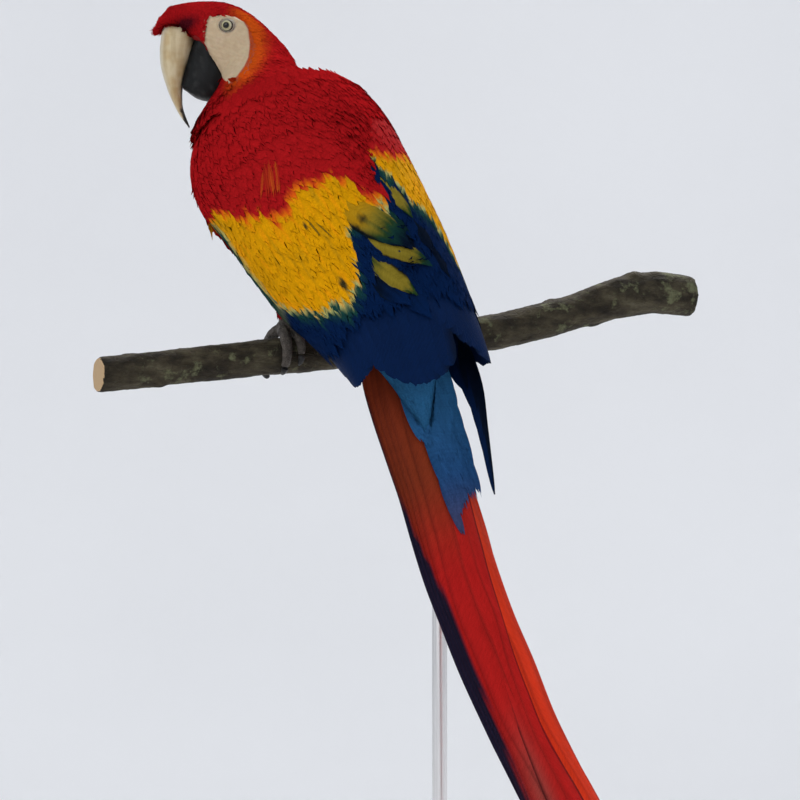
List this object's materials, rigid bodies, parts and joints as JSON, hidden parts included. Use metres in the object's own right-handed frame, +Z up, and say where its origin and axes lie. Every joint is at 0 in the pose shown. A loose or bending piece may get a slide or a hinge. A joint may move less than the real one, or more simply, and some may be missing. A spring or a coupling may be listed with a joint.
{
  "type": "scarlet macaw display model",
  "caption": "Life-size still model of a scarlet macaw with folded wings and head turned, gripping a cut branch on a flat display stand.",
  "frame": {"origin": "centre of the stand base's underside, on the floor, below the point where the bird grips its branch", "axes": "+Z up; the bird faces -Y and its left side is +X; its head is turned to its left, towards +X"},
  "size_m": [0.5073, 0.4608, 0.8057],
  "materials": {
    "plumage": "matte",
    "wing_feathers": "satin",
    "tail_feathers": "satin",
    "pale_horn": "satin",
    "black_horn": "satin",
    "claw_horn": "satin",
    "eye": "gloss",
    "foot_skin": "matte",
    "bark": "matte",
    "stand_paint": "satin",
    "stand_steel": "satin"
  },
  "bodies": {
    "root": {"head": "plumage", "neck": "plumage", "trunk": "plumage", "thigh_left": "plumage", "thigh_right": "plumage", "wing_left": "wing_feathers", "wing_right": "wing_feathers", "tail": "tail_feathers", "bill_upper": "pale_horn", "bill_lower": "black_horn", "eye_left": "eye", "eye_right": "eye", "foot_left": "foot_skin", "foot_right": "foot_skin", "claw_left_inner_front": "claw_horn", "claw_left_outer_front": "claw_horn", "claw_left_inner_back": "claw_horn", "claw_left_outer_back": "claw_horn", "claw_right_inner_front": "claw_horn", "claw_right_outer_front": "claw_horn", "claw_right_inner_back": "claw_horn", "claw_right_outer_back": "claw_horn", "perch_branch": "bark", "stand_base": "stand_paint", "stand_collar": "stand_paint", "stand_rod": "stand_steel"}
  },
  "joints": []
}
